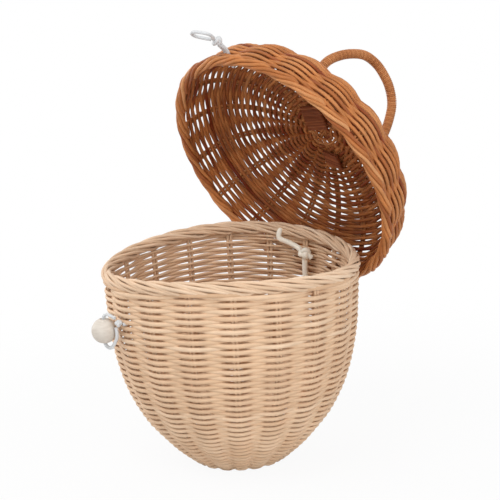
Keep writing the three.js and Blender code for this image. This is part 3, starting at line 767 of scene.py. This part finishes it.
def wovenRow(line, s, row, wave, v, narrow=1.0, over=1):
    # one weaver round the wall: outside as many stake pairs as over says, then inside one
    stakes = v["stakes"]
    spacing = turn * float(lineAt(line, s)[0]) / stakes
    flat = min(v["hold"] / spacing, v["mostHold"])
    between = 1 - 2 * flat
    shares = np.array([0, flat] + [flat + between * t for t in v["between"]] + [1 - flat])
    bow = np.cos(math.pi * np.clip((shares - flat) / between, 0, 1))
    leave = (1 + np.sign(bow) * np.abs(bow) ** v["settle"]) / 2
    angles = np.concatenate([v["phase"] + (k + shares) * turn / stakes for k in range(stakes)])
    sides = [-1 if (k + row) % (over + 1) == over else 1 for k in range(stakes)]
    signs = np.concatenate([sides[k] * leave + sides[(k + 1) % stakes] * (1 - leave) for k in range(stakes)])
    swing = v["swing"] * np.interp(spacing, [v["easeFrom"], v["easeTo"]], [v["eased"], 1])
    depth = signs * swing * narrow + wander(angles, v["uneven"] * narrow, v["waves"])
    lane = s + wander(angles, v["uneven"], v["waves"])
    points, normals = onWall(line, lane, angles, depth, wave)
    wide = (v["wide"] + (v["wideAtStake"] - v["wide"]) * np.abs(signs)) * narrow
    wide = wide * np.where(signs < 0, 1 + (v["insideShare"] - 1) * np.abs(signs), 1)
    side = np.cos(angles - v["looseAt"])
    openness = 2 * np.clip((s / line["total"] - v["looseMiddle"]) / v["looseOver"], 0, 1) - 1
    wide = wide * (1 - v["loose"] * np.where(side > 0, side * openness, side))
    # a weaver's tone drops where it runs inside the wall: painted shade for the dim inside
    tone = np.clip(dice.normal(v["tone"], v["toneSpread"]) - v["insidePaintedShade"] * (1 - signs) / 2, 0, 1)
    return strand(points, normals, v["thick"] * narrow, wide, closed=True, shade=tone)


def weaveRows(line, low, high, wave, v, firstRow=0, wale=0):
    # plain rows, the last of them waled over two stake pairs next to the border
    count = int(round((high - low) / v["pitch"]))
    rows = []
    for i in range(count + 1):
        over = 2 if i > count - wale else 1
        rows.append(wovenRow(line, low + (high - low) * i / count, i + firstRow, wave, v, over=over))
    return rows


def stakeRods(line, k, low, high, wave, v, count=60):
    # the two round stakes of a pair, side by side in the middle of the wall
    s = np.linspace(low, high, count)
    radius = np.maximum(lineAt(line, s)[0], v["stakeNearest"])
    rods = []
    for aside in (-v["stakeAside"], v["stakeAside"]):
        angle = v["phase"] + k * turn / v["stakes"] + aside / radius
        points, normals = onWall(line, s, angle, np.zeros_like(s), wave)
        shade = float(np.clip(dice.normal(v["tone"] + v["stakeLighter"], v["stakeToneSpread"]), 0, 1))
        rods.append(strand(points, normals, v["stakeRadius"], v["stakeRadius"], shade=shade))
    return rods


# body: stakes and weave from the base to the rim

bodyWeaveValues = dict(weaveValues, rowsFrom=1.2, rowsPast=3.2, wale=2, stakesFrom=0.4, stakesPast=4)


def curveThrough(points, count):
    flat = np.hstack([np.array(points, float), np.zeros((len(points), 1))])
    route = smoothRoute(flat, profilePoints["step"])
    keep = np.linspace(0, len(route) - 1, count).round().astype(int)
    return route[keep][:, :2]


def wovenBody():
    v = bodyWeaveValues
    line = profileLine(curveThrough(bodyStations, profilePoints["body"]), bodyShape["wall"] / 2)
    rows = weaveRows(line, v["rowsFrom"], line["total"] + v["rowsPast"], bodyWave, v, wale=v["wale"])
    half = len(rows) // 2
    for name, part in (("side_weave_lower", rows[:half]), ("side_weave_upper", rows[half:])):
        dress(strandPiece(name, part), bodyRattan, "basket", "body_rattan", "side_weave")
    for k in range(v["stakes"]):
        rods = stakeRods(line, k, v["stakesFrom"], line["total"] + v["stakesPast"], bodyWave, v)
        piece = strandPiece(f"stakes_{k + 1}", rods)
        dress(piece, bodyRattan, "basket", "body_rattan", f"stake_pair_{k + 1}")
    print("body weave:", len(rows), "rows")


wovenBody()


# lid: a domed wall, a crown, and a wound middle that the base has too

# the lid's weavers are darker where they run inside the wall, painted shade for its dim inside
lidWeaveValues = dict(
    weaveValues, swing=2.75, wide=1.62, wideAtStake=1.78, insideShare=0.86, hold=2.4, settle=1.5,
    tone=0.55, toneSpread=0.15, insidePaintedShade=0.3, loose=0, eased=1,
    rowsFrom=-2.6, crownGap=1.5, stakesFrom=-3.5, stakesIn=1, poleGap=1e-4,
)
middleValues = dict(
    weaveValues, eased=1, loose=0, stakes=6, swing=1.7, thick=1.1, wide=1.45, wideAtStake=1.5, narrow=0.95,
    edge=15.5, heart=3.4, bundles=3, bundlePoints=16, bundleAside=1.2, bundleRadius=1.15, bundleLift=0.8,
    bundleLiftOver=5, bundleTone=0.4,
)


def domeLine():
    # the outside of the dome from the border's seat to the pole, and the wall's middle line inside it
    v = lidShape
    low = math.asin(((v["border"] + v["seat"]) / v["height"]) ** (v["power"] / 2))
    t = np.linspace(low, turn / 4 - lidWeaveValues["poleGap"], profilePoints["dome"])
    power = 2 / v["power"]
    outer = np.stack([v["radius"] * np.cos(t) ** power, v["height"] * np.sin(t) ** power], axis=1)
    return profileLine(outer, bodyShape["wall"] / 2)


def woundMiddle(line, swing):
    # the round middle where the stakes cross: weavers round three crossed bundles
    v = dict(middleValues, swing=swing)
    low = line["total"] - v["edge"]
    depth = v["edge"] - v["heart"]
    count = int(round(depth / v["pitch"]))
    strands = [wovenRow(line, low + depth * i / count, i, None, v, narrow=v["narrow"])
               for i in range(count + 1)]
    height = float(lineAt(line, line["total"])[1])
    radius = v["bundleRadius"]
    across = np.linspace(-v["edge"], v["edge"], v["bundlePoints"])
    normals = np.tile([0, 0, 1.0], (len(across), 1))
    for k in range(v["bundles"]):
        angle = v["phase"] + k * turn / (2 * v["bundles"])
        lift = (k - 1) * v["bundleLift"] * np.exp(-(across / v["bundleLiftOver"]) ** 2)
        for aside in (-v["bundleAside"], v["bundleAside"]):
            points = np.stack([across * math.cos(angle) - aside * math.sin(angle),
                               across * math.sin(angle) + aside * math.cos(angle), height + lift], axis=1)
            strands.append(strand(points, normals, radius, radius, shade=v["bundleTone"]))
    return strands


def wovenLid():
    v = lidWeaveValues
    line = domeLine()
    crownAt = float(np.interp(lidShape["crown"], line["middle"][::-1, 0], line["length"][::-1]))
    rows = weaveRows(line, v["rowsFrom"], crownAt, None, v)
    wall = strandPiece("lid_woven_wall", rows, place=openLid)
    dress(wall, lidRattan, "lid", "lid_rattan", "lid_weave")
    middleAt = line["total"] - middleValues["edge"]
    crownRows = weaveRows(line, crownAt + v["pitch"], middleAt - v["crownGap"], None, v, firstRow=len(rows))
    crownRows += woundMiddle(line, middleValues["swing"])
    crown = strandPiece("lid_woven_crown", crownRows, place=openLid)
    dress(crown, lidRattan, "lid", "lid_rattan", "lid_crown")
    for k in range(v["stakes"]):
        rods = stakeRods(line, k, v["stakesFrom"], middleAt + v["stakesIn"], None, weaveValues)
        piece = strandPiece(f"lid_stakes_{k + 1}", rods, place=openLid)
        dress(piece, lidRattan, "lid", "lid_rattan", f"lid_stake_pair_{k + 1}")
    print("lid weave:", len(rows) + len(crownRows), "rows")


wovenLid()


# rolled borders of crossing strands round a closed core

rimValues = dict(
    rimShape, strands=54, span=math.radians(60), first=238, last=-66, strand=1.5, sway=10, dive=0.12, beats=2,
    core=0.36, early=0, points=64, corePoints=180, wobble=2, tuckOver=0.1, tucked=0.4, sizeSpread=0.06,
    tone=0.5, toneSpread=0.22,
)
lidRimValues = dict(
    rimValues, **lidRimShape, strands=50, span=math.radians(40), first=-238, last=60, strand=1.6, sway=7,
    dive=0.1, core=0.5, early=0.16,
)


def rolledStrand(v, wave, k):
    # rolled round the border as it goes along it, weaving over and under, its ends tucked in
    early = v["early"] if k % 2 else 0
    t = np.linspace(early, 1 - early, v["points"])
    angle = weaveValues["phase"] + (k + 0.5) * turn / v["strands"] + v["span"] * t
    beat = v["beats"] * turn * t + k * math.pi
    roll = np.radians(v["first"] + (v["last"] - v["first"]) * t + v["sway"] * np.sin(beat)
                      + dice.normal(0, v["wobble"]))
    tuck = np.clip(np.minimum(t - t[0], t[-1] - t) / v["tuckOver"], 0, 1)
    reach = v["tucked"] + (1 - v["tucked"]) * tuck * (2 - tuck)
    ripple = 1 - v["dive"] / 2 + v["dive"] * np.cos(beat)
    radius = v["radius"] + (v["halfWidth"] - v["strand"]) * np.cos(roll) * reach * ripple
    up = (v["halfHeight"] - v["strand"]) * np.sin(roll) * reach * ripple
    height = v["height"] + up + waveRise(angle, wave)
    points = roundAxis(radius, angle, height)
    normals = roundAxis(np.cos(roll), angle, np.sin(roll))
    size = v["strand"] * dice.uniform(1 - v["sizeSpread"], 1 + v["sizeSpread"])
    shade = float(np.clip(dice.normal(v["tone"], v["toneSpread"]), 0, 1))
    return strand(points, normals, size, size, shade=shade)


def rolledBorder(name, v, wave, place):
    strands = [rolledStrand(v, wave, k) for k in range(v["strands"])]
    angle = np.linspace(0, turn, v["corePoints"], endpoint=False)
    core = roundAxis(v["radius"], angle, v["height"] + waveRise(angle, wave))
    sizes = (v["halfWidth"] * v["core"], v["halfHeight"] * v["core"])
    # the core takes the darkest tone: painted shade in the gaps between the rolled strands
    strands.append(strand(core, roundAxis(1, angle, 0), *sizes, closed=True, shade=0))
    return strandPiece(name, strands, place=place)


rimPiece = rolledBorder("rim_plait", rimValues, bodyWave, None)
dress(rimPiece, borderRattan, "basket", "border_rattan", "rim_border")
lidRimPiece = rolledBorder("lid_plait", lidRimValues, None, openLid)
dress(lidRimPiece, lidRattan, "lid", "lid_rattan", "lid_border")
print("borders made")


# base, woven flat

baseValues = dict(
    weaveValues, eased=1, swing=1.35, thick=1.2, wide=1.2, wideAtStake=1.3, stakeRadius=1.2, uneven=0.05,
    radius=38.6, middle=2.65, inset=0.3, rowsFrom=1.3, rowPitch=2.6, stakesIn=1, stakePoints=12,
)


def wovenBase():
    v = baseValues
    across = np.linspace(v["radius"] - v["inset"], 0, profilePoints["base"])
    line = profileLine(np.stack([across, np.full(len(across), v["middle"])], axis=1), 0)
    rowsTo = line["total"] - (middleValues["edge"] + v["rowPitch"])
    count = int(round(rowsTo / v["rowPitch"]))
    strands = [wovenRow(line, v["rowsFrom"] + (rowsTo - v["rowsFrom"]) * i / count, i, None, v)
               for i in range(count + 1)]
    strands += woundMiddle(line, v["swing"])
    stakesTo = line["total"] - middleValues["edge"] + v["stakesIn"]
    for k in range(v["stakes"]):
        strands += stakeRods(line, k, 0, stakesTo, None, v, count=v["stakePoints"])
    dress(strandPiece("woven_base", strands), bodyRattan, "basket", "body_rattan", "base_disc")


wovenBase()


# handle: a bent cane bound with fine strip

handleValues = dict(
    angle=math.radians(78), halfWidth=45, foot=0.6, rise=82.4, under=54.4, top=63.6,
    footSteps=(0, 0.33, 0.67, 1),
    shares=[(0.7, 0.08), (0.9, 0.2), (1, 0.4), (0.93, 0.59), (0.756, 0.78), (0.555, 0.91), (0.26, 0.985)],
    routeStep=0.5, cane=3.0, caneSides=16, caneTone=0.3,
    stripThick=0.5, stripWide=0.85, stripSides=6, gap=0.3, pitch=1.72, pointsPerTurn=14,
    tone=0.5, toneWaves=((0.22, 2.3), (0.15, 0.31)),
)


def handleRoute():
    v = handleValues
    across = v["halfWidth"] * v["foot"]
    side = [(across, v["under"] + (v["top"] - v["under"]) * s) for s in v["footSteps"]]
    side += [(a * v["halfWidth"], v["top"] + b * v["rise"]) for a, b in v["shares"]]
    full = side + [(0, v["top"] + v["rise"])] + [(-a, b) for a, b in reversed(side)]
    points = [np.array([a * math.cos(v["angle"]), a * math.sin(v["angle"]), b]) for a, b in full]
    return smoothRoute(points, v["routeStep"])


def boundHandle():
    v = handleValues
    route = handleRoute()
    total = routeLength(route)
    lead = v["top"] - v["under"]
    marks = np.linspace(lead, total - lead, int((total - 2 * lead) / v["pitch"] * v["pointsPerTurn"]))
    along = lengthAlong(route)
    centre = rowsAt(marks, along, route)
    normals = steadyNormals(route, (math.sin(v["angle"]), -math.cos(v["angle"]), 0))
    normal = unit(rowsAt(marks, along, normals))
    side = np.cross(unit(np.gradient(centre, axis=0)), normal)
    spin = (marks - lead) / v["pitch"] * turn
    reach = v["cane"] + v["gap"] + v["stripThick"]
    out = normal * np.cos(spin)[:, None] + side * np.sin(spin)[:, None]
    shade = v["tone"] + sum(size * np.sin(spin / turn * rate) for size, rate in v["toneWaves"])
    strip = strand(centre + out * reach, out, v["stripThick"], v["stripWide"], shade=shade)
    binding = strandPiece("handle_binding_strip", [strip], sides=v["stripSides"], place=openLid)
    dress(binding, handleRattan, "lid", "handle_cane", "handle_binding")
    cane = strand(route, normals, v["cane"], v["cane"], shade=v["caneTone"])
    core = strandPiece("handle_core", [cane], sides=v["caneSides"], place=openLid)
    dress(core, handleRattan, "lid", "handle_cane", "handle_cane")


boundHandle()


# lashings under the crown

lashValues = dict(
    front=dict(width=24, length=24, across=2, along=-18, pitch=1.3, slant=-0.17, node="front_lashing"),
    rear=dict(width=16, length=14, across=4, along=26, pitch=1.4, slant=0.3, node="rear_lashing"),
    thick=3, top=54.1, points=28, inset=0.5, squareWide=1.3, squareHigh=1.6, lean=0.6,
    stripThick=0.55, stripShare=0.43, lightest=0.6,
)


def lashing(patch):
    # fine strips laid side by side, each wrapped over the patch's two edges
    v = dict(lashValues, **lashValues[patch])
    half = v["thick"] / 2
    middle = v["top"] - half
    count = int(v["length"] / v["pitch"])
    t = np.linspace(0, turn, v["points"], endpoint=False)
    x = v["across"] + np.clip(np.cos(t) * v["squareWide"], -1, 1) * (v["width"] / 2 - v["inset"])
    z = middle + np.clip(np.sin(t) * v["squareHigh"], -1, 1) * (half - v["inset"])
    normals = np.stack([np.cos(t) * v["lean"], 0 * t, np.sin(t)], axis=1)
    strands = []
    for i in range(count):
        y = v["along"] - v["length"] / 2 + (i + 0.5) * v["length"] / count
        points = np.stack([x, y + v["slant"] * (x - v["across"]), z], axis=1)
        strands.append(strand(points, normals, v["stripThick"], v["pitch"] * v["stripShare"], closed=True,
                              shade=float(dice.uniform(0, v["lightest"]))))
    piece = strandPiece(patch + "_lashing_strips", strands, place=openLid)
    dress(piece, lashRattan, "lid", "lid_rattan", v["node"])


lashing("front")
lashing("rear")
print("handle and lashings made")


# pale floor and studio sky: near white to the camera, a plain floor and a softer sky to light rays

floorValues = dict(size=6.0, color=srgb(215, 215, 215), roughness=0.9, fadeFrom=0.2, fadeTo=0.55, pale=0.93)
skyValues = dict(low=0.46, high=0.8)
white = (1, 1, 1, 1)


def seenRays(tree):
    # 1 for the rays that show a surface: camera, glossy and transmission
    path = addNode(tree, "ShaderNodeLightPath")
    found = addMath(tree, "MAXIMUM", path.outputs["Is Camera Ray"], path.outputs["Is Glossy Ray"])
    return addMath(tree, "MAXIMUM", found, path.outputs["Is Transmission Ray"])


def paleFloor():
    v = floorValues
    bpy.ops.object.select_all(action="DESELECT")
    bpy.ops.mesh.primitive_plane_add(size=v["size"], location=(0, 0, 0))
    floor = bpy.context.active_object
    floor.name = "floor"
    material, tree, shader = nodeMaterial("paleFloor")
    link = tree.links.new
    shader.inputs["Base Color"].default_value = v["color"]
    shader.inputs["Roughness"].default_value = v["roughness"]
    coordinates = addNode(tree, "ShaderNodeTexCoord")
    distance = addNode(tree, "ShaderNodeVectorMath", operation="LENGTH")
    link(coordinates.outputs["Object"], distance.inputs[0])
    fade = addRange(tree, distance.outputs["Value"], v["pale"], 1.0, v["fadeFrom"], v["fadeTo"],
                    interpolation_type="SMOOTHSTEP")
    glow = addNode(tree, "ShaderNodeEmission", Color=white)
    mix = addNode(tree, "ShaderNodeMixShader")
    link(addMath(tree, "MULTIPLY", seenRays(tree), fade), mix.inputs["Fac"])
    link(shader.outputs["BSDF"], mix.inputs[1])
    link(glow.outputs["Emission"], mix.inputs[2])
    link(mix.outputs["Shader"], tree.nodes["Material Output"].inputs["Surface"])
    floor.data.materials.append(material)


def studioWorld():
    world = bpy.data.worlds.new("studio")
    scene.world = world
    world.use_nodes = True
    tree = world.node_tree
    link = tree.links.new
    background = tree.nodes["Background"]
    background.inputs["Color"].default_value = white
    coordinates = addNode(tree, "ShaderNodeTexCoord")
    parts = addNode(tree, "ShaderNodeSeparateXYZ")
    link(coordinates.outputs["Generated"], parts.inputs["Vector"])
    sky = addRange(tree, parts.outputs["Z"], skyValues["low"], skyValues["high"])
    level = addNode(tree, "ShaderNodeMapRange")
    link(seenRays(tree), level.inputs["Value"])
    link(sky, level.inputs["To Min"])
    link(level.outputs["Result"], background.inputs["Strength"])


paleFloor()
studioWorld()


# lamps, in metres and watts

lampTarget = Vector((0, 0.03, 0.17))
lampValues = dict(
    key=dict(place=(0.1, -1.15, 2.2), size=1.4, power=23),
    right=dict(place=(1.9, -0.25, 0.6), size=1.6, power=16),
    left=dict(place=(-1.9, -0.3, 0.5), size=1.6, power=18),
    front=dict(place=(0.4, -2.2, 0.3), size=1.4, power=5),
)
for name, v in lampValues.items():
    lampData = bpy.data.lights.new(name, "AREA")
    lampData.size = v["size"]
    lampData.energy = v["power"]
    lamp = bpy.data.objects.new(name, lampData)
    scene.collection.objects.link(lamp)
    lamp.location = v["place"]
    lamp.rotation_euler = (lampTarget - Vector(v["place"])).to_track_quat("-Z", "Y").to_euler()

scene.view_settings.view_transform = "Standard"
print("scene finished")
